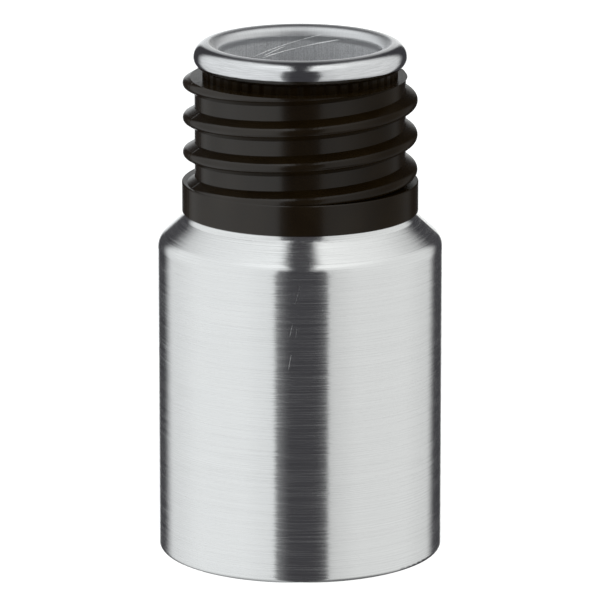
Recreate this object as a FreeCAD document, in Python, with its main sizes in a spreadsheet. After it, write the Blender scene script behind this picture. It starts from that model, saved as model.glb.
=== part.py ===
import FreeCAD, Part
import math
import os

import Sketcher
from FreeCAD import Vector

# A hand-held liquid nitrogen flask: two thin metal shells with a vacuum between them,
# a neck tube that hangs the inner vessel, and a moulded collar that carries the closure's thread.
# Millimetres, +Z up. The origin is the centre of the foot ring, on the surface that the flask stands on.

# name, value, what it is
DIMENSIONS = [
    ("casing_radius", 40.0, "outside of the outer casing"),
    ("casing_wall", 0.8, "sheet thickness of the outer casing"),
    ("foot_round", 1.4, "round between the casing's wall and its foot"),
    ("foot_inner_radius", 36.0, "inner edge of the foot ring"),
    ("shoulder_round", 4.6, "outer round between wall and shoulder"),
    ("shoulder_slope", 42.5, "slope of the shoulder from level, in degrees"),
    ("seat_height", 97.8, "flat seat for the collar at the top of the shoulder"),
    ("cone_top_radius", 31.1, "where the shoulder's cone would reach the seat's level"),
    ("seat_radius", 32.4, "outer edge of the seat, which stands up out of the cone"),
    ("seat_root_round", 1.6, "hollow round between the seat's edge and the cone"),
    ("sleeve_radius", 26.0, "outside of the casing's neck sleeve"),
    ("sleeve_wall", 0.7, "sheet thickness of the neck sleeve"),
    ("sleeve_top", 142.6, "top edge of the neck sleeve"),
    ("mouth_radius", 22.9, "clear radius of the neck tube"),
    ("neck_wall", 0.6, "sheet thickness of the neck tube"),
    ("neck_bottom", 92.0, "lower end of the neck tube"),
    ("rim_top", 145.85, "highest level of the rolled rim"),
    ("rim_inner_round", 2.95, "rolled rim, from the bore to its top"),
    ("rim_outer_round", 4.05, "rolled rim, from its top to its widest place"),
    ("rim_under_round", 3.0, "rolled rim, from its widest place to its underside"),
    ("rim_tuck_radius", 26.4, "inner edge of the rim's tucked-in lip"),
    ("collar_bore_radius", 26.05, "bore of the collar"),
    ("flange_radius", 33.2, "outside of the collar's flange"),
    ("flange_top", 106.5, "upper face of the collar's flange"),
    ("flange_edge", 0.25, "chamfer on the flange's edges"),
    ("thread_root_radius", 29.6, "barrel between the thread's ridges"),
    ("thread_crest_radius", 32.9, "outside of the thread"),
    ("thread_crest_round", 1.6, "round along the thread's crest"),
    ("thread_root_width", 5.7, "width of the ridge where it leaves the barrel"),
    ("thread_pitch", 9.9, "rise of the thread in one turn"),
    ("thread_start", 102.3, "level of the ridge's middle where it starts, inside the flange"),
    ("thread_rise", 37.4, "height that the thread's middle climbs"),
    ("thread_buried", 0.5, "depth of the ridge's foot inside the barrel"),
    ("trim_margin", 2.0, "how far the cut above the ledge reaches past the flange"),
    ("ledge_height", 136.7, "upper face of the collar's barrel"),
    ("crown_radius", 27.4, "tips of the serrated crown's teeth"),
    ("crown_depth", 0.5, "depth of the grooves between those teeth"),
    ("crown_teeth", 48, "number of teeth round the crown"),
    ("vessel_radius", 35.0, "outside of the inner vessel"),
    ("vessel_wall", 0.6, "sheet thickness of the inner vessel"),
    ("vessel_bottom", 10.0, "underside of the inner vessel"),
    ("vessel_shoulder", 79.0, "level where the inner vessel's wall turns into its shoulder"),
    ("vessel_round", 5.0, "outer round of the inner vessel's shoulder"),
    ("vessel_stub_top", 99.0, "top of the stub that holds the neck tube"),
    ("bottom_skirt", 3.6, "height of the inner bottom's skirt"),
    ("bottom_round", 2.4, "outer round of the inner bottom"),
    ("seal_height", 2.0, "height of the ring that closes the vacuum space at the neck"),
    ("blanket_thickness", 2.0, "layered insulation round the inner vessel"),
    ("blanket_neck_radius", 27.6, "opening of the blanket round the neck"),
    ("foil_thickness", 0.2, "reflecting foil outside the blanket"),
    ("base_plate_top", 4.2, "upper face of the casing's base plate"),
    ("base_skirt_wall", 0.8, "thickness of the base plate and its skirt"),
    ("cover_radius", 35.9, "outside of the cover under the base plate"),
    ("cover_bottom", 0.6, "underside of that cover"),
    ("cover_wall", 0.6, "sheet thickness of that cover"),
    ("cover_dish", 0.9, "depth of the shallow dish in the cover"),
    ("cover_land", 4.0, "width of the flat ring round that dish"),
    ("cover_slope_width", 1.8, "width of the step between the flat ring and the dish"),
    ("port_radius", 2.0, "outside of the pinched-off pumping tube"),
    ("port_bore_radius", 1.3, "bore of that tube"),
    ("port_top", 5.4, "upper end of that tube"),
    ("port_shoulder", 2.9, "level where that tube is pinched flat"),
    ("port_tip", 1.9, "lower end of that tube"),
    ("port_plug", 1.0, "solid metal above the pinch"),
    ("pinch_width", 4.6, "width of the flat pinch"),
    ("pinch_thickness", 0.9, "thickness of the flat pinch"),
    ("pad_radius", 3.0, "radius of a support pad"),
    ("pad_circle_radius", 22.0, "circle that the support pads stand on"),
    ("pad_count", 3, "number of support pads"),
    ("pad_clearance", 0.3, "gap round a pad where it goes through the insulation"),
    ("tray_radius", 13.0, "outside of the getter tray"),
    ("tray_hole_radius", 5.0, "hole in the middle of the getter tray"),
    ("tray_wall", 0.3, "sheet thickness of the getter tray"),
    ("tray_height", 2.4, "height of the getter tray"),
    ("screen_hole_radius", 0.6, "radius of a hole in the getter tray's screen"),
    ("screen_holes", 20, "holes in each ring of that screen"),
    ("pellet_radius", 0.85, "radius of a getter pellet"),
    ("pellets_in_ring", 20, "getter pellets in each ring"),
    ("inner_ring_radius", 7.4, "inner ring of pellets and of screen holes"),
    ("outer_ring_radius", 10.6, "outer ring of pellets and of screen holes"),
]

PARTS_FOLDER = "parts"
SHEET = "Dimensions"
FULL_TURN = 360.0


class Size:
    """A number that remembers its formula, so that what it drives stays bound to the sheet."""

    def __init__(self, value, formula=None):
        self.value = float(value)
        self.formula = formula or repr(value)

    def __add__(self, other):
        other = as_size(other)
        return Size(self.value + other.value, f"({self.formula} + {other.formula})")

    def __sub__(self, other):
        other = as_size(other)
        return Size(self.value - other.value, f"({self.formula} - {other.formula})")

    def __mul__(self, other):
        other = as_size(other)
        return Size(self.value * other.value, f"({self.formula} * {other.formula})")

    def __truediv__(self, other):
        other = as_size(other)
        return Size(self.value / other.value, f"({self.formula} / {other.formula})")

    def __neg__(self):
        return Size(-self.value, f"(-{self.formula})")


def as_size(number):
    return number if isinstance(number, Size) else Size(number)


def sine(angle):
    return Size(math.sin(math.radians(angle.value)), f"sin({angle.formula})")


def cosine(angle):
    return Size(math.cos(math.radians(angle.value)), f"cos({angle.formula})")


def tangent(angle):
    return Size(math.tan(math.radians(angle.value)), f"tan({angle.formula})")


def make_sheet(doc):
    """Write the driving dimensions, one row each, and give back a Size for each name."""
    sheet = doc.addObject("Spreadsheet::Sheet", SHEET)
    sizes = {}
    for row, (name, value, meaning) in enumerate(DIMENSIONS, start=1):
        sheet.set(f"A{row}", meaning)
        sheet.set(f"B{row}", str(value))
        sheet.setAlias(f"B{row}", name)
        sizes[name] = Size(value, f"{SHEET}.{name}")
    doc.recompute()
    return sizes


# ---- sketches -------------------------------------------------------------------------------

HORIZONTAL_AXIS = -1
VERTICAL_AXIS = -2
START_POINT = 1
END_POINT = 2
CENTRE_POINT = 3


class Arc:
    """An outline's round stretch: it ends at (across, up) and turns left or right."""

    def __init__(self, across, up, radius, left):
        self.across = as_size(across)
        self.up = as_size(up)
        self.radius = as_size(radius)
        self.left = left


def new_body(doc, label):
    body = doc.addObject("PartDesign::Body", label)
    body.Label = label
    return body


def origin_feature(body, role):
    return next(feature for feature in body.Origin.OriginFeatures if feature.Role == role)


def new_sketch(body, name, role="XZ_Plane", lift=None):
    """A sketch on one of the body's own planes, lifted off it where a level is given."""
    sketch = body.newObject("Sketcher::SketchObject", name)
    sketch.AttachmentSupport = [(origin_feature(body, role), "")]
    sketch.MapMode = "FlatFace"
    if lift is not None:
        sketch.AttachmentOffset = FreeCAD.Placement(Vector(0, 0, lift.value), FreeCAD.Rotation())
        sketch.setExpression(".AttachmentOffset.Base.z", lift.formula)
    return sketch


def bind(sketch, constraint, size):
    index = sketch.addConstraint(constraint)
    sketch.setExpression(f"Constraints[{index}]", size.formula)


def pin_point(sketch, edge, point, across, up):
    """Fix one point of an edge by its distances from the sketch's two axes."""
    for size, kind, axis in ((across, "DistanceX", VERTICAL_AXIS), (up, "DistanceY", HORIZONTAL_AXIS)):
        if size.value == 0:
            sketch.addConstraint(Sketcher.Constraint("PointOnObject", edge, point, axis))
        else:
            distance = Sketcher.Constraint(kind, HORIZONTAL_AXIS, START_POINT, edge, point, size.value)
            bind(sketch, distance, size)


def arc_between(start, end, radius, left):
    """The short arc from start to end, as a curve that runs anticlockwise."""
    chord = end - start
    half = chord.Length / 2
    side = Vector(-chord.y, chord.x, 0).normalize() * (1 if left else -1)
    centre = (start + end) * 0.5 + side * math.sqrt(max(radius**2 - half**2, 0))
    first, last = (start, end) if left else (end, start)
    first_angle = math.atan2(first.y - centre.y, first.x - centre.x)
    last_angle = math.atan2(last.y - centre.y, last.x - centre.x)
    circle = Part.Circle(centre, Vector(0, 0, 1), radius)
    return Part.ArcOfCircle(circle, first_angle, last_angle)


def draw_outline(sketch, steps):
    """Draw a closed outline. Each step ends an edge: (across, up) is straight, an Arc is round."""
    ends = []
    for step in steps:
        across, up = (step.across, step.up) if isinstance(step, Arc) else map(as_size, step)
        ends.append((across, up))
    tails = []
    for index, step in enumerate(steps):
        across, up = ends[index]
        start = Vector(ends[index - 1][0].value, ends[index - 1][1].value, 0)
        end = Vector(across.value, up.value, 0)
        head, tail = START_POINT, END_POINT
        if isinstance(step, Arc):
            edge = sketch.addGeometry(arc_between(start, end, step.radius.value, step.left))
            bind(sketch, Sketcher.Constraint("Radius", edge, step.radius.value), step.radius)
            if not step.left:
                head, tail = END_POINT, START_POINT
        else:
            edge = sketch.addGeometry(Part.LineSegment(start, end))
        if tails:
            sketch.addConstraint(Sketcher.Constraint("Coincident", *tails[-1], edge, head))
        else:
            first_head = (edge, head)
        pin_point(sketch, edge, tail, across, up)
        tails.append((edge, tail))
    sketch.addConstraint(Sketcher.Constraint("Coincident", *tails[-1], *first_head))


def draw_circle(sketch, across, up, radius):
    """Draw a circle with its centre at (across, up)."""
    across, up = as_size(across), as_size(up)
    centre = Vector(across.value, up.value, 0)
    circle = sketch.addGeometry(Part.Circle(centre, Vector(0, 0, 1), radius.value))
    bind(sketch, Sketcher.Constraint("Radius", circle, radius.value), radius)
    pin_point(sketch, circle, CENTRE_POINT, across, up)


# ---- features -------------------------------------------------------------------------------


def revolve(body, sketch):
    """Turn a sketch once round the body's Z axis."""
    turned = body.newObject("PartDesign::Revolution", f"{sketch.Name}_turned")
    turned.Profile = sketch
    turned.ReferenceAxis = (sketch, ["V_Axis"])
    turned.Angle = FULL_TURN
    sketch.Visibility = False
    return turned


def turned_body(doc, label, steps):
    """A body made by turning one outline round the Z axis."""
    body = new_body(doc, label)
    sketch = new_sketch(body, f"{label}_outline")
    draw_outline(sketch, steps)
    revolve(body, sketch)
    return body


def pocket(doc, body, sketch, depth):
    """Cut a sketch downwards to the given depth, and stop if it takes no metal away."""
    doc.recompute()
    whole = body.Tip.Shape.Volume
    cut = body.newObject("PartDesign::Pocket", f"{sketch.Name}_cut")
    cut.Profile = sketch
    cut.Length = depth.value
    cut.setExpression("Length", depth.formula)
    doc.recompute()
    if cut.Shape.Volume >= whole:
        raise RuntimeError(f"{cut.Name} cuts nothing")
    return cut


def repeat_round(body, feature, count):
    """Repeat a feature evenly round the body's Z axis."""
    pattern = body.newObject("PartDesign::PolarPattern", f"{feature.Name}_ring")
    pattern.Originals = [feature]
    pattern.Axis = (origin_feature(body, "Z_Axis"), [""])
    pattern.Angle = FULL_TURN
    pattern.Occurrences = int(count.value)
    pattern.setExpression("Occurrences", count.formula)
    body.Tip = pattern
    return pattern


def drill_ring(doc, body, name, hole_radius, circle_radius, count, top, depth):
    """Cut a ring of round holes down from a level."""
    sketch = new_sketch(body, name, "XY_Plane", lift=top)
    draw_circle(sketch, circle_radius, 0, hole_radius)
    return repeat_round(body, pocket(doc, body, sketch, depth), count)


def ring_group(doc, label, kind, sizes, rings):
    """One node of equal loose pieces: each ring is a circle's radius, a count and a level."""
    pieces = []
    for radius, count, level in rings:
        for index in range(int(count.value)):
            piece = doc.addObject(kind, f"{label}_{len(pieces) + 1}")
            for name, size in sizes.items():
                setattr(piece, name, size.value)
                piece.setExpression(name, size.formula)
            angle = Size(index) * FULL_TURN / count
            piece.setExpression(".Placement.Base.x", (radius * cosine(angle)).formula)
            piece.setExpression(".Placement.Base.y", (radius * sine(angle)).formula)
            piece.setExpression(".Placement.Base.z", level.formula)
            pieces.append(piece)
    group = doc.addObject("Part::Compound", label)
    group.Links = pieces
    group.Label = label
    return group


# ---- outer shell ----------------------------------------------------------------------------


def shoulder_steps(wall_radius, slope, rounding, top_radius, top_level):
    """The round and the cone from a wall up to a corner: where the round starts, ends, and the corner."""
    cone_run = wall_radius - rounding + rounding * sine(slope) - top_radius
    round_end_radius = top_radius + cone_run
    round_end_level = top_level - cone_run * tangent(slope)
    round_start_level = round_end_level - rounding * cosine(slope)
    return [
        (wall_radius, round_start_level),
        Arc(round_end_radius, round_end_level, rounding, left=True),
        (top_radius, top_level),
    ]


def seat_edge_steps(d):
    """From the shoulder's cone round a hollow corner and straight up to the collar's seat."""
    slope = d["shoulder_slope"]
    radius = d["seat_radius"]
    corner_level = d["seat_height"] - (radius - d["cone_top_radius"]) * tangent(slope)
    reach = d["seat_root_round"] * tangent((Size(90) - slope) / 2)
    return [
        (radius + reach * cosine(slope), corner_level - reach * sine(slope)),
        Arc(radius, corner_level + reach, d["seat_root_round"], left=False),
        (radius, d["seat_height"]),
    ]


def make_outer_casing(doc, d):
    """Wall, foot, shoulder and neck sleeve, spun from one sheet, with a raised seat for the collar."""
    wall = d["casing_wall"]
    inner_radius = d["casing_radius"] - wall
    half_slope = d["shoulder_slope"] / 2
    cone_top = d["cone_top_radius"]
    inner_cone_top = cone_top - wall * tangent(half_slope)
    sleeve_inner = d["sleeve_radius"] - d["sleeve_wall"]
    round_start, outer_round, _ = shoulder_steps(
        d["casing_radius"], d["shoulder_slope"], d["shoulder_round"], cone_top, d["seat_height"]
    )
    inner_shoulder = shoulder_steps(
        inner_radius,
        d["shoulder_slope"],
        d["shoulder_round"] - wall,
        inner_cone_top,
        d["seat_height"] - wall,
    )
    inner_round_start, inner_round, inner_corner = inner_shoulder
    steps = [
        (d["foot_inner_radius"], 0),
        (d["casing_radius"] - d["foot_round"], 0),
        Arc(d["casing_radius"], d["foot_round"], d["foot_round"], left=True),
        round_start,
        outer_round,
        *seat_edge_steps(d),
        (d["sleeve_radius"], d["seat_height"]),
        (d["sleeve_radius"], d["sleeve_top"]),
        (sleeve_inner, d["sleeve_top"]),
        (sleeve_inner, d["seat_height"] - wall),
        inner_corner,
        (inner_round.across, inner_round.up),
        Arc(*inner_round_start, inner_round.radius, left=False),
        (inner_radius, d["foot_round"]),
        Arc(d["casing_radius"] - d["foot_round"], wall, d["foot_round"] - wall, left=False),
        (d["foot_inner_radius"], wall),
    ]
    return turned_body(doc, "outer_casing", steps)


def make_casing_base(doc, d):
    """The pan that closes the vacuum space from below, with a hole for the pumping tube."""
    outer = d["casing_radius"] - d["casing_wall"]
    wall = d["base_skirt_wall"]
    lowest = d["foot_round"]
    steps = [
        (d["port_radius"], d["base_plate_top"] - wall),
        (outer - wall, d["base_plate_top"] - wall),
        (outer - wall, lowest),
        (outer, lowest),
        (outer, d["base_plate_top"]),
        (d["port_radius"], d["base_plate_top"]),
    ]
    return turned_body(doc, "casing_base", steps)


def make_base_cover(doc, d):
    """A shallow dished cover that hides the pumping tube's pinched end."""
    wall = d["cover_wall"]
    bottom = d["cover_bottom"]
    rim_inner = d["cover_radius"] - wall
    land = d["cover_radius"] - d["cover_land"]
    dish = land - d["cover_slope_width"]
    steps = [
        (0, bottom + d["cover_dish"]),
        (dish, bottom + d["cover_dish"]),
        (land, bottom),
        (d["cover_radius"] - wall, bottom),
        Arc(d["cover_radius"], bottom + wall, wall, left=True),
        (d["cover_radius"], d["base_plate_top"] - d["base_skirt_wall"]),
        (rim_inner, d["base_plate_top"] - d["base_skirt_wall"]),
        (rim_inner, bottom + wall),
        (land, bottom + wall),
        (dish, bottom + d["cover_dish"] + wall),
        (0, bottom + d["cover_dish"] + wall),
    ]
    return turned_body(doc, "base_cover", steps)


def make_evacuation_tube(doc, d):
    """The pumping tube, closed by a flat pinch after the space is evacuated."""
    body = turned_body(
        doc,
        "evacuation_tube",
        [
            (0, d["port_shoulder"]),
            (d["port_radius"], d["port_shoulder"]),
            (d["port_radius"], d["port_top"]),
            (d["port_bore_radius"], d["port_top"]),
            (d["port_bore_radius"], d["port_shoulder"] + d["port_plug"]),
            (0, d["port_shoulder"] + d["port_plug"]),
        ],
    )
    half_width = d["pinch_width"] / 2
    half_thickness = d["pinch_thickness"] / 2
    sketch = new_sketch(body, "pinch_outline", "XY_Plane", lift=d["port_tip"])
    draw_outline(
        sketch,
        [
            (-half_width, -half_thickness),
            (half_width, -half_thickness),
            (half_width, half_thickness),
            (-half_width, half_thickness),
        ],
    )
    pinch = body.newObject("PartDesign::Pad", "pinch")
    pinch.Profile = sketch
    pinch.setExpression("Length", (d["port_shoulder"] - d["port_tip"]).formula)
    return body


# ---- inner vessel and neck ------------------------------------------------------------------


def make_inner_vessel(doc, d):
    """Wall, shoulder and neck stub of the vessel that holds the liquid."""
    wall = d["vessel_wall"]
    slope = d["shoulder_slope"]
    stub_bore = d["mouth_radius"] + d["neck_wall"]
    stub_radius = stub_bore + wall
    shoulder_top = vessel_shoulder_top(d, stub_radius)
    inner_top = shoulder_top - wall * tangent(slope / 2)
    outer = shoulder_steps(d["vessel_radius"], slope, d["vessel_round"], stub_radius, shoulder_top)
    inner = shoulder_steps(
        d["vessel_radius"] - wall, slope, d["vessel_round"] - wall, stub_bore, inner_top
    )
    inner_round_start, inner_round, inner_corner = inner
    steps = [
        (d["vessel_radius"], d["vessel_bottom"]),
        *outer,
        (stub_radius, d["vessel_stub_top"]),
        (stub_bore, d["vessel_stub_top"]),
        inner_corner,
        (inner_round.across, inner_round.up),
        Arc(*inner_round_start, inner_round.radius, left=False),
        (d["vessel_radius"] - wall, d["vessel_bottom"]),
    ]
    return turned_body(doc, "inner_vessel", steps)


def vessel_shoulder_top(d, radius):
    """Level of the vessel's outer cone at a radius, from where its round starts."""
    slope = d["shoulder_slope"]
    rounding = d["vessel_round"]
    round_end_radius = d["vessel_radius"] - rounding + rounding * sine(slope)
    round_end_level = d["vessel_shoulder"] + rounding * cosine(slope)
    return round_end_level + (round_end_radius - radius) * tangent(slope)


def make_inner_bottom(doc, d):
    """The dished plate welded into the vessel's lower end."""
    wall = d["vessel_wall"]
    outer = d["vessel_radius"] - wall
    bottom = d["vessel_bottom"]
    rounding = d["bottom_round"]
    top = bottom + d["bottom_skirt"]
    steps = [
        (0, bottom),
        (outer - rounding, bottom),
        Arc(outer, bottom + rounding, rounding, left=True),
        (outer, top),
        (outer - wall, top),
        (outer - wall, bottom + rounding),
        Arc(outer - rounding, bottom + wall, rounding - wall, left=False),
        (0, bottom + wall),
    ]
    return turned_body(doc, "inner_bottom", steps)


def make_neck_tube(doc, d):
    """The thin neck tube, rolled outwards over the collar's crown at its top."""
    bore = d["mouth_radius"]
    wall = d["neck_wall"]
    top = d["rim_top"]
    inner_round = d["rim_inner_round"]
    outer_round = d["rim_outer_round"]
    under_round = d["rim_under_round"]
    top_radius = bore + inner_round
    widest = top_radius + outer_round
    widest_level = top - outer_round
    under_radius = widest - under_round
    under_level = widest_level - under_round
    steps = [
        (bore + wall, d["neck_bottom"]),
        (bore + wall, top - inner_round),
        Arc(top_radius, top - wall, inner_round - wall, left=False),
        Arc(widest - wall, widest_level, outer_round - wall, left=False),
        Arc(under_radius, under_level + wall, under_round - wall, left=False),
        (d["rim_tuck_radius"], under_level + wall),
        (d["rim_tuck_radius"], under_level),
        (under_radius, under_level),
        Arc(widest, widest_level, under_round, left=True),
        Arc(top_radius, top, outer_round, left=True),
        Arc(bore, top - inner_round, inner_round, left=True),
        (bore, d["neck_bottom"]),
    ]
    return turned_body(doc, "neck_tube", steps)


def make_neck_seal_ring(doc, d):
    """The brazed ring that closes the vacuum space between neck tube and sleeve."""
    inner = d["mouth_radius"] + d["neck_wall"]
    outer = d["sleeve_radius"] - d["sleeve_wall"]
    top = d["sleeve_top"]
    bottom = top - d["seal_height"]
    steps = [(inner, bottom), (outer, bottom), (outer, top), (inner, top)]
    return turned_body(doc, "neck_seal_ring", steps)


# ---- threaded collar ------------------------------------------------------------------------


def make_threaded_collar(doc, d):
    """A moulded barrel with a flange below, one coarse ridge round it and a serrated crown on top."""
    edge = d["flange_edge"]
    crown_top = d["rim_top"] - d["rim_outer_round"] - d["rim_under_round"]
    body = turned_body(
        doc,
        "threaded_collar",
        [
            (d["collar_bore_radius"], d["seat_height"]),
            (d["flange_radius"] - edge, d["seat_height"]),
            (d["flange_radius"], d["seat_height"] + edge),
            (d["flange_radius"], d["flange_top"] - edge),
            (d["flange_radius"] - edge, d["flange_top"]),
            (d["thread_root_radius"], d["flange_top"]),
            (d["thread_root_radius"], d["ledge_height"]),
            (d["crown_radius"], d["ledge_height"]),
            (d["crown_radius"], crown_top),
            (d["collar_bore_radius"], crown_top),
        ],
    )
    add_thread(doc, body, d)
    trim_thread(body, d)
    add_crown_teeth(doc, body, d, crown_top)
    return body


def add_thread(doc, body, d):
    """Sweep the ridge up a right-handed helix, from inside the flange to above the ledge."""
    crest_round = d["thread_crest_round"]
    crest_centre = d["thread_crest_radius"] - crest_round
    half_width = d["thread_root_width"] / 2
    reach = crest_centre - d["thread_root_radius"]
    # The flank is tangent to the crest's round: lean is its angle from level.
    to_centre = math.atan2(half_width.value, reach.value)
    to_tangent = math.asin(crest_round.value / math.hypot(half_width.value, reach.value))
    lean = Size(
        math.degrees(to_centre - to_tangent),
        f"(atan2({half_width.formula}; {reach.formula})"
        f" - asin({crest_round.formula} / hypot({half_width.formula}; {reach.formula})))",
    )
    crest_across = crest_centre + crest_round * sine(lean)
    crest_half = crest_round * cosine(lean)
    buried = d["thread_buried"]
    root_half = half_width + buried * tangent(lean)
    root_across = d["thread_root_radius"] - buried
    middle = d["thread_start"]
    sketch = new_sketch(body, "thread_outline", "YZ_Plane")
    draw_outline(
        sketch,
        [
            (root_across, middle - root_half),
            (crest_across, middle - crest_half),
            Arc(crest_across, middle + crest_half, crest_round, left=True),
            (root_across, middle + root_half),
        ],
    )
    thread = body.newObject("PartDesign::AdditiveHelix", "thread")
    thread.Profile = sketch
    thread.ReferenceAxis = (sketch, ["V_Axis"])
    thread.Mode = "pitch-height-angle"
    thread.Pitch = d["thread_pitch"].value
    thread.Height = d["thread_rise"].value
    thread.Angle = 0
    thread.setExpression("Pitch", d["thread_pitch"].formula)
    thread.setExpression("Height", d["thread_rise"].formula)
    doc.recompute()


def trim_thread(body, d):
    """Cut the ridge off level with the ledge, clear of the crown."""
    sketch = new_sketch(body, "ledge_outline")
    outside = d["flange_radius"] + d["trim_margin"]
    above = d["rim_top"]
    draw_outline(
        sketch,
        [
            (d["crown_radius"], d["ledge_height"]),
            (outside, d["ledge_height"]),
            (outside, above),
            (d["crown_radius"], above),
        ],
    )
    trim = body.newObject("PartDesign::Groove", "ledge")
    trim.Profile = sketch
    trim.ReferenceAxis = (sketch, ["V_Axis"])
    trim.Angle = FULL_TURN


def add_crown_teeth(doc, body, d, crown_top):
    """Cut one groove of the crown's serration and repeat it round the crown."""
    sketch = new_sketch(body, "crown_groove", "XY_Plane", lift=crown_top)
    bottom = d["crown_radius"] - d["crown_depth"]
    half_angle = Size(180) / d["crown_teeth"]
    mouth = (d["crown_radius"] + d["crown_depth"]) * tangent(half_angle)
    draw_outline(
        sketch,
        [
            (bottom, 0),
            (d["crown_radius"] + d["crown_depth"], -mouth),
            (d["crown_radius"] + d["crown_depth"], mouth),
        ],
    )
    groove = pocket(doc, body, sketch, crown_top - d["ledge_height"])
    repeat_round(body, groove, d["crown_teeth"])


# ---- what lies in the vacuum space ----------------------------------------------------------


def layer_steps(d, inner_offset, thickness, bottom):
    """A layer that follows the inner vessel's wall and shoulder, between two distances from it."""
    slope = d["shoulder_slope"]
    neck = d["blanket_neck_radius"]
    sides = []
    for offset in (inner_offset, inner_offset + thickness):
        cone_level = vessel_shoulder_top(d, neck) + offset / cosine(slope)
        sides.append(
            shoulder_steps(d["vessel_radius"] + offset, slope, d["vessel_round"] + offset, neck, cone_level)
        )
    inner_side, outer_side = sides
    inner_start, inner_round, inner_corner = inner_side
    return [
        (d["vessel_radius"] + inner_offset + thickness, bottom),
        *outer_side,
        inner_corner,
        (inner_round.across, inner_round.up),
        Arc(*inner_start, inner_round.radius, left=False),
        (d["vessel_radius"] + inner_offset, bottom),
    ]


def make_insulation_blanket(doc, d):
    """Layered insulation wrapped round the vessel's wall and shoulder."""
    steps = layer_steps(d, Size(0), d["blanket_thickness"], d["vessel_bottom"])
    return turned_body(doc, "insulation_blanket", steps)


def make_foil_wrap(doc, d):
    """Reflecting foil round the blanket."""
    bottom = d["vessel_bottom"] - d["blanket_thickness"]
    steps = layer_steps(d, d["blanket_thickness"], d["foil_thickness"], bottom)
    return turned_body(doc, "foil_wrap", steps)


def make_pierced_disc(doc, d, label, radius, top, thickness):
    """A disc with a clearance hole round each support pad."""
    bottom = top - thickness
    body = turned_body(doc, label, [(0, bottom), (radius, bottom), (radius, top), (0, top)])
    hole = d["pad_radius"] + d["pad_clearance"]
    drill_ring(doc, body, f"{label}_holes", hole, d["pad_circle_radius"], d["pad_count"], top, thickness)
    return body


def make_insulation_bottom(doc, d):
    """Layered insulation under the vessel."""
    radius = d["vessel_radius"] + d["blanket_thickness"]
    return make_pierced_disc(
        doc, d, "insulation_bottom", radius, d["vessel_bottom"], d["blanket_thickness"]
    )


def make_foil_bottom(doc, d):
    """Reflecting foil under that insulation."""
    radius = d["vessel_radius"] + d["blanket_thickness"] + d["foil_thickness"]
    top = d["vessel_bottom"] - d["blanket_thickness"]
    return make_pierced_disc(doc, d, "foil_bottom", radius, top, d["foil_thickness"])


def make_support_pads(doc, d):
    """Three pads that carry the inner vessel on the base plate."""
    sizes = {"Radius": d["pad_radius"], "Height": d["vessel_bottom"] - d["base_plate_top"]}
    rings = [(d["pad_circle_radius"], d["pad_count"], d["base_plate_top"])]
    return ring_group(doc, "support_pads", "Part::Cylinder", sizes, rings)


def make_getter_tray(doc, d):
    """A ring-shaped tray on the base plate that holds the pellets which keep the vacuum clean."""
    wall = d["tray_wall"]
    bottom = d["base_plate_top"]
    top = bottom + d["tray_height"]
    steps = [
        (d["tray_hole_radius"], bottom),
        (d["tray_radius"], bottom),
        (d["tray_radius"], top),
        (d["tray_radius"] - wall, top),
        (d["tray_radius"] - wall, bottom + wall),
        (d["tray_hole_radius"] + wall, bottom + wall),
        (d["tray_hole_radius"] + wall, top),
        (d["tray_hole_radius"], top),
    ]
    return turned_body(doc, "getter_tray", steps)


def make_getter_screen(doc, d):
    """The pierced lid that keeps the pellets in their tray."""
    bottom = d["base_plate_top"] + d["tray_height"]
    top = bottom + d["tray_wall"]
    inner, outer = d["tray_hole_radius"], d["tray_radius"]
    body = turned_body(
        doc, "getter_screen", [(inner, bottom), (outer, bottom), (outer, top), (inner, top)]
    )
    for name in ("inner_ring_radius", "outer_ring_radius"):
        hole = d["screen_hole_radius"]
        drill_ring(doc, body, f"screen_{name}", hole, d[name], d["screen_holes"], top, d["tray_wall"])
    return body


def make_getter_pellets(doc, d):
    """Two rings of pellets lying in the tray."""
    level = d["base_plate_top"] + d["tray_wall"] + d["pellet_radius"]
    rings = [(d[name], d["pellets_in_ring"], level) for name in ("inner_ring_radius", "outer_ring_radius")]
    return ring_group(doc, "getter_pellets", "Part::Sphere", {"Radius": d["pellet_radius"]}, rings)


MAKERS = [
    make_outer_casing,
    make_casing_base,
    make_base_cover,
    make_evacuation_tube,
    make_inner_vessel,
    make_inner_bottom,
    make_neck_tube,
    make_neck_seal_ring,
    make_threaded_collar,
    make_insulation_blanket,
    make_insulation_bottom,
    make_foil_wrap,
    make_foil_bottom,
    make_support_pads,
    make_getter_tray,
    make_getter_screen,
    make_getter_pellets,
]


def check_document(doc, pieces):
    """Stop where an object failed to compute or a piece has no sound shape."""
    for item in doc.Objects:
        if "Invalid" in item.State or "Error" in item.State:
            raise RuntimeError(f"{item.Label} failed: {item.State}")
    for piece in pieces:
        if piece.Shape.isNull() or not piece.Shape.isValid():
            raise RuntimeError(f"{piece.Label} has no sound shape")


def main():
    doc = FreeCAD.newDocument("nitrogen_flask")
    sizes = make_sheet(doc)
    pieces = [maker(doc, sizes) for maker in MAKERS]
    doc.recompute()
    check_document(doc, pieces)
    os.makedirs(PARTS_FOLDER, exist_ok=True)
    for piece in pieces:
        piece.Shape.exportStep(os.path.join(PARTS_FOLDER, f"{piece.Label}.step"))
        box = piece.Shape.BoundBox
        print(f"{piece.Label}: {len(piece.Shape.Solids)} solids, {piece.Shape.Volume:.1f} mm3,",
              f"z {box.ZMin:.2f} to {box.ZMax:.2f}, x {box.XMin:.2f} to {box.XMax:.2f}")


main()
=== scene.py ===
"""A small open liquid nitrogen flask with a brushed metal body and a black threaded collar.

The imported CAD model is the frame, and every length is in metres in its axes: +Z is up and the
camera looks along +Y. The CAD pieces keep their shapes. This script gives each one a procedural
material, and sets up the studio, the floor and the camera.
"""

import math

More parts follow.
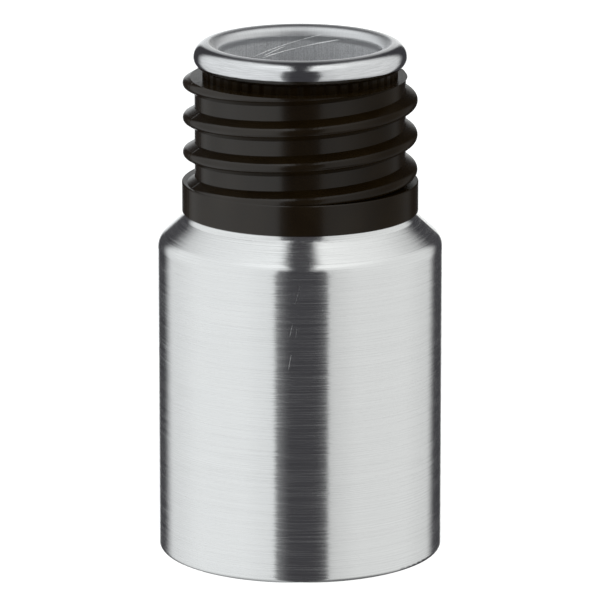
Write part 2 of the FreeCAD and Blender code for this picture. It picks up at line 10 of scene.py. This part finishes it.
import bpy
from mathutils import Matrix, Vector


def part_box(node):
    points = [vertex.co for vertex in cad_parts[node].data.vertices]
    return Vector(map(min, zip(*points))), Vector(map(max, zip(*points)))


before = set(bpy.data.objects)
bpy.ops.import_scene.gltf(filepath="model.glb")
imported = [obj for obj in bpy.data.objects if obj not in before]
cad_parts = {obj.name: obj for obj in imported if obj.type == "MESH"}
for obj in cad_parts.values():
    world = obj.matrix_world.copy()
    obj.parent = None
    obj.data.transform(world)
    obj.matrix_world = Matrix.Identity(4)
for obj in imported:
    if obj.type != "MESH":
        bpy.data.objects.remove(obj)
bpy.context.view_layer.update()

MM = 0.001

WHITE = (1.0, 1.0, 1.0, 1.0)

# Sizes that part.py gives the CAD.
CASING_RADIUS = 40.0 * MM
CROWN_RADIUS = 27.4 * MM
RIM_INNER_ROUND = 2.95 * MM
RIM_OUTER_ROUND = 4.05 * MM


# ---------------------------------------------------------------- node helpers


def put(tree, socket, value):
    """Sets a socket to a number or colour, or links it to another node's socket."""
    if isinstance(value, bpy.types.NodeSocket):
        tree.links.new(value, socket)
    else:
        socket.default_value = value


def node(tree, kind, inputs=None, **settings):
    """Adds a node, sets its properties and fills its inputs by name or number."""
    made = tree.nodes.new(kind)
    for name, value in settings.items():
        setattr(made, name, value)
    for key, value in (inputs or {}).items():
        put(tree, made.inputs[key], value)
    return made


def math_node(tree, operation, *values):
    made = node(tree, "ShaderNodeMath", operation=operation)
    for socket, value in zip(made.inputs, values):
        put(tree, socket, value)
    return made.outputs[0]


def add(tree, a, b):
    return math_node(tree, "ADD", a, b)


def subtract(tree, a, b):
    return math_node(tree, "SUBTRACT", a, b)


def multiply(tree, a, b):
    return math_node(tree, "MULTIPLY", a, b)


def divide(tree, a, b):
    return math_node(tree, "DIVIDE", a, b)


def absolute(tree, value):
    return math_node(tree, "ABSOLUTE", value)


def rescale(tree, value, start, end, low, high, curve="LINEAR"):
    """Goes from low, where value is at start, to high, where it is at end, and stays there."""
    made = node(
        tree,
        "ShaderNodeMapRange",
        {"Value": value, "From Min": start, "From Max": end, "To Min": low, "To Max": high},
        interpolation_type=curve,
    )
    return made.outputs["Result"]


def smooth_step(tree, value, start, end, low=0.0, high=1.0):
    """The same, but eased in and out."""
    return rescale(tree, value, start, end, low, high, curve="SMOOTHSTEP")


def blend(tree, share, a, b):
    """a where share is 0 and b where it is 1."""
    return node(tree, "ShaderNodeMix", {0: share, 2: a, 3: b}).outputs[0]


def blend_colour(tree, share, a, b):
    made = node(tree, "ShaderNodeMix", data_type="RGBA", clamp_factor=False)
    for number, value in ((0, share), (6, a), (7, b)):
        put(tree, made.inputs[number], value)
    return made.outputs[2]


def blend_shader(tree, share, a, b):
    return node(tree, "ShaderNodeMixShader", {0: share, 1: a, 2: b}).outputs[0]


def vector(tree, x, y, z):
    return node(tree, "ShaderNodeCombineXYZ", {0: x, 1: y, 2: z}).outputs[0]


def tipped(tree, normal, tip):
    """A normal leaned over by the vector tip."""
    total = node(tree, "ShaderNodeVectorMath", {0: normal, 1: tip}, operation="ADD").outputs[0]
    return node(tree, "ShaderNodeVectorMath", {0: total}, operation="NORMALIZE").outputs[0]


def bump(tree, height, distance, normal=None):
    inputs = {"Height": height, "Distance": distance}
    if normal is not None:
        inputs["Normal"] = normal
    return node(tree, "ShaderNodeBump", inputs).outputs["Normal"]


# ---------------------------------------------------------------- noise

# Nearly all of a noise texture's values lie this far each side of the middle.
NOISE_MIDDLE = 0.5
NOISE_REACH = 0.2


def noise(tree, place, scale=1.0, detail=2.0):
    inputs = {"Vector": place, "Scale": scale, "Detail": detail}
    return node(tree, "ShaderNodeTexNoise", inputs).outputs["Fac"]


def noise_between(tree, value, low, high, reach=NOISE_REACH):
    """Noise stretched to run from low to high."""
    return rescale(tree, value, NOISE_MIDDLE - reach, NOISE_MIDDLE + reach, low, high)


def mottled(tree, value, dark, light, reach=NOISE_REACH):
    """A colour that noise takes from dark to light. A smaller reach gives harder patches."""
    share = smooth_step(tree, value, NOISE_MIDDLE - reach, NOISE_MIDDLE + reach)
    return blend_colour(tree, share, dark, light)


def shade(tint, amount):
    """A tint made lighter or darker, as a colour for a socket."""
    return [amount * part for part in tint] + [1.0]


# ---------------------------------------------------------------- places on a turned piece


class TurnedPlace:
    """Where a shaded point lies on a piece turned about the Z axis. across and away say which way
    it faces, to the right and away from the camera's side, and along runs up a wall or cone."""

    def __init__(self, tree):
        self.point = node(tree, "ShaderNodeTexCoord").outputs["Object"]
        x, y, z = node(tree, "ShaderNodeSeparateXYZ", {0: self.point}).outputs
        square = add(tree, multiply(tree, x, x), multiply(tree, y, y))
        self.radius = math_node(tree, "SQRT", square)
        safe = math_node(tree, "MAXIMUM", self.radius, 0.1 * MM)
        self.across = divide(tree, x, safe)
        self.away = divide(tree, y, safe)
        self.angle = math_node(tree, "ARCTAN2", y, x)
        self.height = z
        self.along = subtract(tree, z, self.radius)


def grain(tree, place, radius, around, upright, detail):
    """Noise on a turned piece of that radius, in patches around wide and upright tall."""
    spot = vector(
        tree,
        multiply(tree, place.across, radius / around),
        multiply(tree, place.away, radius / around),
        divide(tree, place.along, upright),
    )
    return noise(tree, spot, detail=detail)


def ring_grain(tree, place, streak_length, streak_width, detail=3.0):
    """Noise drawn out into streaks that run round the axis."""
    return grain(tree, place, CASING_RADIUS, streak_length, streak_width, detail)


def turned_from(tree, place, angle):
    """How far round the piece a point lies from that angle, along its surface. The angle is in
    degrees, and the length in metres."""
    turned = subtract(tree, place.angle, math.radians(angle))
    wrapped = math_node(tree, "WRAP", turned, math.pi, -math.pi)
    return multiply(tree, wrapped, place.radius)


def line_mask(tree, beside, width):
    """1 in the middle of a line and 0 at its edges and beyond."""
    return smooth_step(tree, absolute(tree, beside), width / 2, 0.0)


def score_line(tree, place, angle, height, length, lean, width):
    """1 on a thin straight scratch, 0 elsewhere. angle and lean are in degrees, the rest in metres.
    The scratch is centred at that angle and height, and leans away from upright."""
    across = turned_from(tree, place, angle)
    up = subtract(tree, place.height, height)
    cosine, sine = math.cos(math.radians(lean)), math.sin(math.radians(lean))
    beside = subtract(tree, multiply(tree, across, cosine), multiply(tree, up, sine))
    along = add(tree, multiply(tree, across, sine), multiply(tree, up, cosine))
    ends = smooth_step(tree, absolute(tree, along), length / 2, length / 4)
    return multiply(tree, line_mask(tree, beside, width), ends)


def spiral_line(tree, place, angle, height, half_turn, rise, width):
    """1 on a fine score that runs round the axis, 0 elsewhere. It is centred at that angle and
    height, reaches half_turn degrees each way, and drops by rise for each degree of angle."""
    turned = subtract(tree, math_node(tree, "DEGREES", place.angle), angle)
    middle = subtract(tree, height, multiply(tree, turned, rise))
    beside = subtract(tree, place.height, middle)
    ends = smooth_step(tree, absolute(tree, turned), half_turn, 0.7 * half_turn)
    return multiply(tree, line_mask(tree, beside, width), ends)


def parting_line(tree, place, angle, width):
    """1 on a thin upright line at that angle, given in degrees, and 0 elsewhere."""
    return line_mask(tree, turned_from(tree, place, angle), width)


def any_of(tree, masks):
    total = masks[0]
    for mask in masks[1:]:
        total = math_node(tree, "MAXIMUM", total, mask)
    return total


# ---------------------------------------------------------------- shaders

# Anisotropic highlights stretch across the grain. With the tangent running round the Z axis, no
# turn means upright grain, and a quarter turn means grain that runs round the axis.
UPRIGHT_GRAIN = 0.0
RING_GRAIN = 0.25


def new_material(name):
    """An empty material, and the socket that its shader goes to."""
    material = bpy.data.materials.new(name)
    material.use_nodes = True
    tree = material.node_tree
    tree.nodes.clear()
    output = tree.nodes.new("ShaderNodeOutputMaterial")
    return material, tree, output.inputs["Surface"]


def principled(tree, colour, roughness, normal, **more):
    """The main shader. more sets its other inputs by name, with _ for each space."""
    inputs = {"Base Color": colour, "Roughness": roughness, "Normal": normal}
    inputs.update({name.replace("_", " "): value for name, value in more.items()})
    return node(tree, "ShaderNodeBsdfPrincipled", inputs).outputs[0]


def brushed_metal(tree, colour, roughness, normal, strength, turn):
    tangent = node(tree, "ShaderNodeTangent", direction_type="RADIAL", axis="Z").outputs[0]
    return principled(
        tree,
        colour,
        roughness,
        normal,
        Metallic=1.0,
        Anisotropic=strength,
        Anisotropic_Rotation=turn,
        Tangent=tangent,
    )


# ---------------------------------------------------------------- materials

# Scratches on the casing: angle in degrees, height and length in mm, lean in degrees, width in mm.
CASING_SCRATCHES = [
    (-91.0, 83, 8, 14, 0.22),
    (-93.5, 73, 5, 12, 0.20),
    (-91.5, 72, 4, 6, 0.20),
    (-94.0, 64, 6, 10, 0.20),
    (-66.0, 7, 5, -48, 0.30),
    (-40.0, 52, 7, -30, 0.25),
    (63.0, 60, 9, 22, 0.30),
    (140.0, 38, 6, 70, 0.30),
]

# Scores in the bore: angle in degrees, height in mm, half turn in degrees, drop in mm for each
# degree, width in mm.
BORE_SCORES = [
    (99.0, 140.75, 28.0, 0.115, 0.26),
    (90.0, 139.75, 31.0, 0.094, 0.34),
    (108.0, 139.0, 9.0, 0.150, 0.30),
]

PARTING_ANGLES = (-159.3, 20.7)
PLASTIC_DARK = (0.0135, 0.0076, 0.0022, 1.0)
PLASTIC_LIGHT = (0.0175, 0.0102, 0.0032, 1.0)


def uneven_tilt(tree, place, strokes, most):
    """The surface's normal, tipped to either side round the Z axis by up to most."""
    sideways = vector(tree, multiply(tree, place.away, -1.0), place.across, 0.0)
    amount = noise_between(tree, strokes, -most, most, reach=0.25)
    tip = node(tree, "ShaderNodeVectorMath", {0: sideways, 3: amount}, operation="SCALE").outputs[0]
    return tipped(tree, node(tree, "ShaderNodeNewGeometry").outputs["Normal"], tip)


def brushed_shell(name, tint):
    """Thin sheet metal, brushed round and round on a lathe, with a few scratches. The dullest of
    its streaks scatter light widely, which shows as pale lines in dark reflections."""
    material, tree, surface = new_material(name)
    place = TurnedPlace(tree)
    fine = ring_grain(tree, place, 26 * MM, 0.30 * MM)
    coarse = ring_grain(tree, place, 40 * MM, 0.9 * MM, detail=2.0)
    strokes = ring_grain(tree, place, 45 * MM, 0.24 * MM, detail=2.0)
    cloud = noise(tree, place.point, scale=60.0)
    scratches = any_of(
        tree,
        [
            score_line(tree, place, angle, height * MM, length * MM, lean, width * MM)
            for angle, height, length, lean, width in CASING_SCRATCHES
        ],
    )
    texture = add(tree, multiply(tree, fine, 0.75), multiply(tree, coarse, 0.25))
    colour = mottled(tree, texture, shade(tint, 0.96), shade(tint, 1.04))
    roughness = add(
        tree,
        smooth_step(tree, fine, 0.42, 0.68, 0.145, 0.25),
        noise_between(tree, cloud, -0.01, 0.01),
    )
    roughness = add(tree, roughness, multiply(tree, scratches, 0.12))
    normal = uneven_tilt(tree, place, strokes, 0.013)
    normal = bump(tree, texture, 0.016 * MM, normal)
    normal = bump(tree, scratches, 0.008 * MM, normal)
    bright = brushed_metal(tree, colour, roughness, normal, 0.92, RING_GRAIN)
    dull = principled(tree, colour, 0.5, normal, Metallic=1.0)
    share = smooth_step(tree, strokes, 0.48, 0.66, 0.0, 0.18)
    put(tree, surface, blend_shader(tree, share, bright, dull))
    return material


def polished_neck(name, tint, crest_radius, bore_top):
    """The rolled rim is polished. Inside its crest the lip keeps upright drawing marks, and below
    bore_top the bore is dull, with a few real scores whose colour is painted white as a painted
    highlight."""
    material, tree, surface = new_material(name)
    place = TurnedPlace(tree)
    cloud = noise(tree, place.point, scale=220.0, detail=3.0)
    speckle = noise(tree, place.point, scale=2200.0)
    rings = ring_grain(tree, place, 6 * MM, 0.25 * MM)
    drawn = grain(tree, place, 24 * MM, 0.25 * MM, 12 * MM, detail=3.0)
    scores = any_of(
        tree,
        [
            spiral_line(tree, place, angle, height * MM, half_turn, drop * MM, width * MM)
            for angle, height, half_turn, drop, width in BORE_SCORES
        ],
    )

    rim_relief = add(tree, rings, multiply(tree, cloud, 1.5))
    rim = brushed_metal(
        tree,
        mottled(tree, rings, shade(tint, 0.88), shade(tint, 1.0), reach=0.15),
        noise_between(tree, cloud, 0.08, 0.13),
        bump(tree, rim_relief, 0.018 * MM),
        0.5,
        RING_GRAIN,
    )

    # A score's lower side catches the light from above, so its normal leans upwards.
    lean = multiply(tree, scores, smooth_step(tree, speckle, 0.34, 0.54, 0.25, 0.75))
    inside_normal = tipped(tree, bump(tree, drawn, 0.01 * MM), vector(tree, 0.0, 0.0, lean))
    lip = brushed_metal(
        tree,
        mottled(tree, drawn, shade(tint, 0.94), shade(tint, 1.0), reach=0.15),
        0.34,
        inside_normal,
        0.92,
        UPRIGHT_GRAIN,
    )
    mottle = add(tree, multiply(tree, drawn, 0.5), multiply(tree, speckle, 0.5))
    bore_colour = mottled(tree, mottle, shade(tint, 0.98), shade(tint, 1.17), reach=0.1)
    # Painted highlight: on the scores the colour goes to white, so they show as bright lines.
    bore = brushed_metal(
        tree,
        blend_colour(tree, scores, bore_colour, WHITE),
        blend(tree, scores, noise_between(tree, drawn, 0.62, 0.70), 0.3),
        inside_normal,
        0.2,
        UPRIGHT_GRAIN,
    )

    below = smooth_step(tree, place.height, bore_top - 0.8 * MM, bore_top - 1.8 * MM)
    outside = smooth_step(tree, place.radius, crest_radius - 0.8 * MM, crest_radius)
    inside = blend_shader(tree, below, lip, bore)
    put(tree, surface, blend_shader(tree, outside, inside, rim))
    return material


def moulded_plastic(name, crown_radius):
    """Black moulded plastic with a soft gloss and a fine tool texture. Painted shade: the serrated
    crown and, less strongly, the collar's left and right sides get a dull shader that hardly
    reflects."""
    material, tree, surface = new_material(name)
    place = TurnedPlace(tree)
    fine = noise(tree, place.point, scale=2600.0)
    cloud = noise(tree, place.point, scale=90.0, detail=3.0)
    flow = ring_grain(tree, place, 14 * MM, 1.1 * MM, detail=2.0)
    parting = any_of(tree, [parting_line(tree, place, angle, 0.7 * MM) for angle in PARTING_ANGLES])
    colour = mottled(tree, cloud, PLASTIC_DARK, PLASTIC_LIGHT, reach=0.15)
    normal = bump(tree, add(tree, multiply(tree, fine, 0.5), flow), 0.013 * MM)
    normal = bump(tree, parting, 0.12 * MM, normal)
    glossy = principled(tree, colour, noise_between(tree, cloud, 0.14, 0.20), normal)
    dull = principled(
        tree, colour, noise_between(tree, cloud, 0.20, 0.27), normal, Specular_IOR_Level=0.05
    )
    # Painted shade: by its place, the crown under the rim and each side of the collar blend to the
    # dull shader, whose specular is almost nil, so they render darker.
    crown = smooth_step(tree, place.radius, crown_radius + 0.15 * MM, crown_radius + 0.05 * MM)
    painted_shade_right = add(
        tree,
        smooth_step(tree, place.across, 0.05, 0.25, 0.0, 0.45),
        smooth_step(tree, place.across, 0.25, 0.85, 0.0, 0.55),
    )
    painted_shade_left = smooth_step(tree, place.across, -0.6, -0.96, 0.0, 0.6)
    painted_shade_share = any_of(tree, [crown, painted_shade_right, painted_shade_left])
    put(tree, surface, blend_shader(tree, painted_shade_share, glossy, dull))
    return material


def plain_metal(name, tint, roughness, grain_scale):
    """Unpolished sheet metal that the outside doesn't show."""
    material, tree, surface = new_material(name)
    cloud = noise(tree, TurnedPlace(tree).point, scale=grain_scale, detail=4.0)
    shader = principled(
        tree,
        mottled(tree, cloud, shade(tint, 0.82), shade(tint, 1.0)),
        noise_between(tree, cloud, roughness - 0.06, roughness + 0.06),
        bump(tree, cloud, 0.03 * MM),
        Metallic=1.0,
    )
    put(tree, surface, shader)
    return material


def soft_fill(name, tint, grain_scale, roughness):
    """A dull, uneven solid: pellets, pads or blanket."""
    material, tree, surface = new_material(name)
    cloud = noise(tree, TurnedPlace(tree).point, scale=grain_scale, detail=5.0)
    shader = principled(
        tree,
        mottled(tree, cloud, shade(tint, 0.75), shade(tint, 1.0)),
        noise_between(tree, cloud, roughness, min(1.0, roughness + 0.15)),
        bump(tree, cloud, 0.1 * MM),
    )
    put(tree, surface, shader)
    return material


SHELL_STEEL = (0.87, 0.875, 0.87)
NECK_STEEL = (0.82, 0.825, 0.835)
PLAIN_STEEL = (0.70, 0.70, 0.71)
TRAY_STEEL = (0.68, 0.68, 0.69)
SCREEN_STEEL = (0.66, 0.66, 0.67)
VESSEL_STEEL = (0.74, 0.74, 0.75)
BRAZE = (0.72, 0.66, 0.50)
COPPER = (0.80, 0.43, 0.28)
FOIL = (0.86, 0.86, 0.86)
GLASS_PAPER = (0.86, 0.85, 0.80)
PAD_PLASTIC = (0.72, 0.70, 0.60)
PELLET = (0.16, 0.15, 0.14)


def dress_cad_pieces():
    """Gives each CAD piece its finished material."""
    neck_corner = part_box("neck_tube")[1]
    crest_radius = neck_corner.x - RIM_OUTER_ROUND
    bore_top = neck_corner.z - RIM_INNER_ROUND
    finishes = {
        "outer_casing": brushed_shell("brushed_shell", SHELL_STEEL),
        "base_cover": brushed_shell("brushed_base", SHELL_STEEL),
        "neck_tube": polished_neck("polished_rim", NECK_STEEL, crest_radius, bore_top),
        "threaded_collar": moulded_plastic("black_moulding", CROWN_RADIUS),
        "casing_base": plain_metal("base_metal", PLAIN_STEEL, 0.42, 160.0),
        "getter_tray": plain_metal("tray_metal", TRAY_STEEL, 0.40, 240.0),
        "getter_screen": plain_metal("screen_metal", SCREEN_STEEL, 0.38, 260.0),
        "inner_vessel": plain_metal("vessel_metal", VESSEL_STEEL, 0.36, 180.0),
        "inner_bottom": plain_metal("vessel_bottom_metal", VESSEL_STEEL, 0.36, 200.0),
        "neck_seal_ring": plain_metal("seal_metal", BRAZE, 0.34, 500.0),
        "evacuation_tube": plain_metal("tube_copper", COPPER, 0.30, 400.0),
        "foil_wrap": plain_metal("wrap_foil", FOIL, 0.24, 320.0),
        "foil_bottom": plain_metal("bottom_foil", FOIL, 0.24, 320.0),
        "insulation_blanket": soft_fill("blanket_fill", GLASS_PAPER, 700.0, 0.8),
        "insulation_bottom": soft_fill("bottom_fill", GLASS_PAPER, 700.0, 0.8),
        "support_pads": soft_fill("pad_fill", PAD_PLASTIC, 300.0, 0.55),
        "getter_pellets": soft_fill("pellet_fill", PELLET, 900.0, 0.75),
    }
    for name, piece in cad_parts.items():
        for holder in piece.material_slots:
            holder.material = finishes[name]


# ---------------------------------------------------------------- studio

# Angles are in degrees. A panel's turn is measured round from straight in front of the flask, and
# its rise from level. Each pair of angles is where a change in the light starts and ends.

# A side panel. Its light comes up softly over glow to glow_share, and at edge to the rest. It has
# the two levels of front at FRONT_TURNS, falls to faded over fading, and ends over end. Under the
# flask it falls to under_share, over the rises of under.
LEFT_PANEL = {
    "glow": (8.0, 26.0),
    "glow_share": 0.3,
    "edge": (18.8, 21.8),
    "front": (0.79, 0.85),
    "fading": (85.0, 125.0),
    "faded": 0.86,
    "end": (126.0, 146.0),
    "under": (-70.0, -30.0),
    "under_share": 0.5,
}
RIGHT_PANEL = {
    "glow": (12.0, 30.0),
    "glow_share": 0.25,
    "edge": (21.0, 24.0),
    "front": (0.66, 0.75),
    "fading": (90.0, 125.0),
    "faded": 0.88,
    "end": (125.0, 142.0),
    "under": (-60.0, -25.0),
    "under_share": 0.2,
}
FRONT_TURNS = (25.0, 50.0)

# The upper part of both side panels, which comes in over HIGH_RISES, reaches further back.
HIGH_RISES = (-8.0, 12.0)
HIGH_FADING = (115.0, 145.0)
HIGH_FADED = 0.80
HIGH_END = (132.0, 148.0)

# The lit backdrop is behind the flask, and dims to BACKDROP_DIM higher up.
BACKDROP_TURNS = (164.0, 171.0)
BACKDROP_RISES = (-5.0, 30.0)
BACKDROP_DIM = 0.3

# The roof's lengths are parts of 1, the distance to any point of the studio. A dark gap runs from
# front to back, its middle at GAP_MIDDLE. The front roof goes from the first to the second level
# of ROOF_LEVELS over ROOF_SIDES, and is dimmer low in front. The back roof comes up over
# BACK_SIDES, and fades over BACK_TURNS.
GAP_MIDDLE = 0.005
GAP_EDGE = (0.09, 0.18)
ROOF_SIDES = (0.2, 0.7)
ROOF_LEVELS = (1.12, 0.90)
LOW_FRONT = (-0.6, -0.2)
LOW_FRONT_SHARE = 0.82
BACK_SIDES = (0.03, 0.45)
BACK_LEVEL = 0.88
BACK_TURNS = (118.0, 150.0)
BACK_FADED = 0.15

# Walls turn into roof over these rises in front, and over these behind. The change from front to
# behind itself happens over BEHIND.
FRONT_ROOF_RISES = (35.0, 52.0)
BACK_ROOF_RISES = (28.0, 60.0)
BEHIND = (-0.15, 0.15)

ROOM = (0.048, 0.047, 0.052, 1.0)
LEFT_LIGHT = (0.975, 1.0, 1.01, 1.0)
RIGHT_LIGHT = (0.985, 1.0, 0.995, 1.0)


class Direction:
    """A direction into the studio. x and y are its parts to the right and away from the camera,
    turn is its angle round from straight in front of the flask, on either side, and rise its
    angle above level, both in degrees."""

    def __init__(self, tree):
        toward = node(tree, "ShaderNodeTexCoord").outputs["Generated"]
        self.x, self.y, z = node(tree, "ShaderNodeSeparateXYZ", {0: toward}).outputs
        self.sideways = absolute(tree, self.x)
        around = math_node(tree, "ARCTAN2", self.sideways, multiply(tree, self.y, -1.0))
        self.turn = math_node(tree, "DEGREES", around)
        self.rise = math_node(tree, "DEGREES", math_node(tree, "ARCSINE", z))
        self.on_right = math_node(tree, "GREATER_THAN", self.x, 0.0)
        self.behind = smooth_step(tree, self.y, *BEHIND)


def side_panel(tree, way, panel):
    """How bright one side panel is."""
    share = panel["glow_share"]
    edge = add(
        tree,
        smooth_step(tree, way.turn, *panel["glow"], 0.0, share),
        smooth_step(tree, way.turn, *panel["edge"], 0.0, 1.0 - share),
    )
    front = multiply(tree, edge, smooth_step(tree, way.turn, *FRONT_TURNS, *panel["front"]))
    low_back = multiply(
        tree,
        smooth_step(tree, way.turn, *panel["fading"], 1.0, panel["faded"]),
        smooth_step(tree, way.turn, *panel["end"], 1.0, 0.0),
    )
    high_back = multiply(
        tree,
        smooth_step(tree, way.turn, *HIGH_FADING, 1.0, HIGH_FADED),
        smooth_step(tree, way.turn, *HIGH_END, 1.0, 0.0),
    )
    high = smooth_step(tree, way.rise, *HIGH_RISES)
    light = multiply(tree, front, blend(tree, high, low_back, high_back))
    under = smooth_step(tree, way.rise, *panel["under"], panel["under_share"], 1.0)
    return multiply(tree, light, under)


def backdrop_panel(tree, way):
    """How bright the backdrop is."""
    return multiply(
        tree,
        smooth_step(tree, way.turn, *BACKDROP_TURNS),
        smooth_step(tree, way.rise, *BACKDROP_RISES, 1.0, BACKDROP_DIM),
    )


def roof_panels(tree, way):
    """How bright the panels overhead are."""
    from_gap = absolute(tree, subtract(tree, way.x, GAP_MIDDLE))
    front = multiply(
        tree,
        smooth_step(tree, way.sideways, *ROOF_SIDES, *ROOF_LEVELS),
        smooth_step(tree, way.y, *LOW_FRONT, LOW_FRONT_SHARE, 1.0),
    )
    front = multiply(tree, smooth_step(tree, from_gap, *GAP_EDGE), front)
    back = multiply(
        tree,
        smooth_step(tree, way.sideways, *BACK_SIDES, 0.0, BACK_LEVEL),
        smooth_step(tree, way.turn, *BACK_TURNS, 1.0, BACK_FADED),
    )
    return blend(tree, way.behind, front, back)


def overhead(tree, way):
    """0 where the walls are and 1 where the roof is."""
    start, end = [
        blend(tree, way.behind, in_front, behind)
        for in_front, behind in zip(FRONT_ROOF_RISES, BACK_ROOF_RISES)
    ]
    return smooth_step(tree, way.rise, start, end)


def make_studio():
    """A dark room with a big soft panel on each side, more overhead and a lit backdrop. The camera
    sees plain white."""
    world = bpy.data.worlds.new("studio")
    bpy.context.scene.world = world
    world.use_nodes = True
    tree = world.node_tree
    tree.nodes.clear()
    output = tree.nodes.new("ShaderNodeOutputWorld")
    way = Direction(tree)
    left, right = [side_panel(tree, way, panel) for panel in (LEFT_PANEL, RIGHT_PANEL)]
    walls = add(tree, blend(tree, way.on_right, left, right), backdrop_panel(tree, way))
    light = blend(tree, overhead(tree, way), walls, roof_panels(tree, way))
    colour = blend_colour(tree, way.on_right, LEFT_LIGHT, RIGHT_LIGHT)
    room = node(tree, "ShaderNodeBackground", {"Color": blend_colour(tree, light, ROOM, colour)})
    backdrop = node(tree, "ShaderNodeBackground", {"Color": WHITE})
    is_camera = node(tree, "ShaderNodeLightPath").outputs["Is Camera Ray"]
    seen = blend_shader(tree, is_camera, room.outputs[0], backdrop.outputs[0])
    put(tree, output.inputs["Surface"], seen)


FLOOR_HALF_WIDTH = 3.0
FLOOR_GREY = (0.5, 0.5, 0.5, 1.0)
FLOOR_GLOW = 0.9


def make_floor():
    """A plain pale floor. Most of its light is its own glow, so that it stays pale, and reflections
    don't show it."""
    half = FLOOR_HALF_WIDTH
    mesh = bpy.data.meshes.new("floor")
    corners = [(-half, -half, 0), (half, -half, 0), (half, half, 0), (-half, half, 0)]
    mesh.from_pydata(corners, [], [(0, 1, 2, 3)])
    floor = bpy.data.objects.new("floor", mesh)
    bpy.context.scene.collection.objects.link(floor)
    floor.visible_glossy = False
    floor.visible_diffuse = False
    floor.visible_shadow = False
    material, tree, surface = new_material("floor_paper")
    shader = node(
        tree,
        "ShaderNodeBsdfPrincipled",
        {
            "Base Color": FLOOR_GREY,
            "Roughness": 1.0,
            "Specular IOR Level": 0.0,
            "Emission Color": WHITE,
            "Emission Strength": FLOOR_GLOW,
        },
    )
    put(tree, surface, shader.outputs[0])
    mesh.materials.append(material)


CAMERA_PLACE = (0.0, -1.6298, 0.4795)
CAMERA_DIP = 14.099
CAMERA_LENS = 357.3
CAMERA_SENSOR = 36.0
CAMERA_SHIFT = (-0.00033, 0.0086)


def make_camera():
    """A long lens, far off and a little above the object."""
    data = bpy.data.cameras.new("camera")
    data.sensor_width = CAMERA_SENSOR
    data.lens = CAMERA_LENS
    data.shift_x, data.shift_y = CAMERA_SHIFT
    data.clip_start = 0.1
    data.clip_end = 50.0
    camera = bpy.data.objects.new("camera", data)
    bpy.context.scene.collection.objects.link(camera)
    camera.location = Vector(CAMERA_PLACE)
    camera.rotation_euler = (math.radians(90 - CAMERA_DIP), 0.0, 0.0)
    bpy.context.scene.camera = camera


dress_cad_pieces()
make_studio()
make_floor()
make_camera()
bpy.context.scene.view_settings.view_transform = "Standard"
